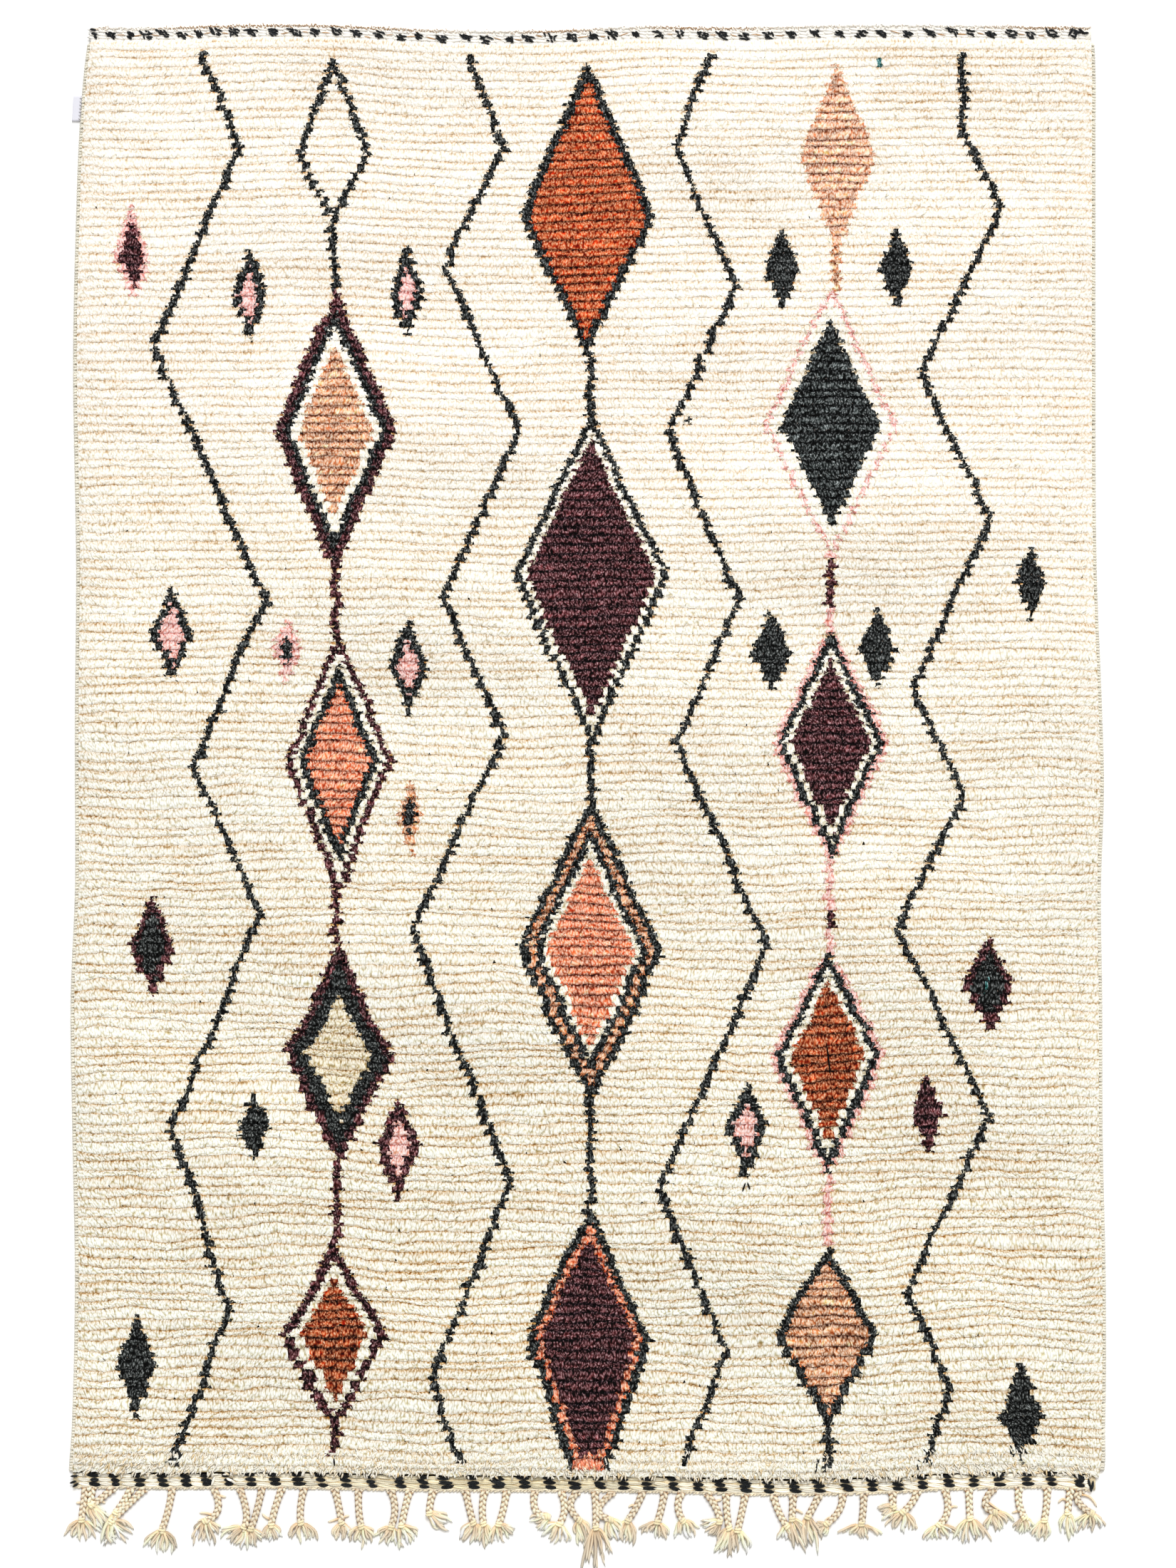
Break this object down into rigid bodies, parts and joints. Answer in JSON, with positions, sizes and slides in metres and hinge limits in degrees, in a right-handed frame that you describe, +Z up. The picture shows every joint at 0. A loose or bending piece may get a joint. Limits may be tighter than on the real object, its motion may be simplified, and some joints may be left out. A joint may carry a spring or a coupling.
{
  "type": "azilal rug",
  "caption": "Hand-knotted wool rug lying flat, with lozenge chains and zigzags on cream pile, twined dark-and-light end bands, and a fringe of braided, knotted warp ends.",
  "frame": {"origin": "middle of the rug's flat underside, on the floor", "axes": "+Z up through the pile, +Y along the rug towards the hemmed end, so the braided fringe is at -Y, +X across it to the right as seen in the picture"},
  "size_m": [1.7263, 2.5533, 0.0161],
  "materials": {
    "knotted_wool": "cut wool pile, cream with charcoal, burgundy, rust, peach, coral and pink knots",
    "twined_band": "twined yarn in dark and natural blocks",
    "selvedge_yarn": "overcast wool yarn",
    "warp_cotton": "natural cotton, three-strand braids with knots and loose tufts",
    "tab_ribbon": "pale woven ribbon, blank"
  },
  "bodies": {
    "root": {"rug_body": "knotted_wool", "top_twined_edge": "twined_band", "bottom_twined_edge": "twined_band", "left_selvedge": "selvedge_yarn", "right_selvedge": "selvedge_yarn", "fringe": "warp_cotton", "label_tab": "tab_ribbon"}
  },
  "joints": []
}
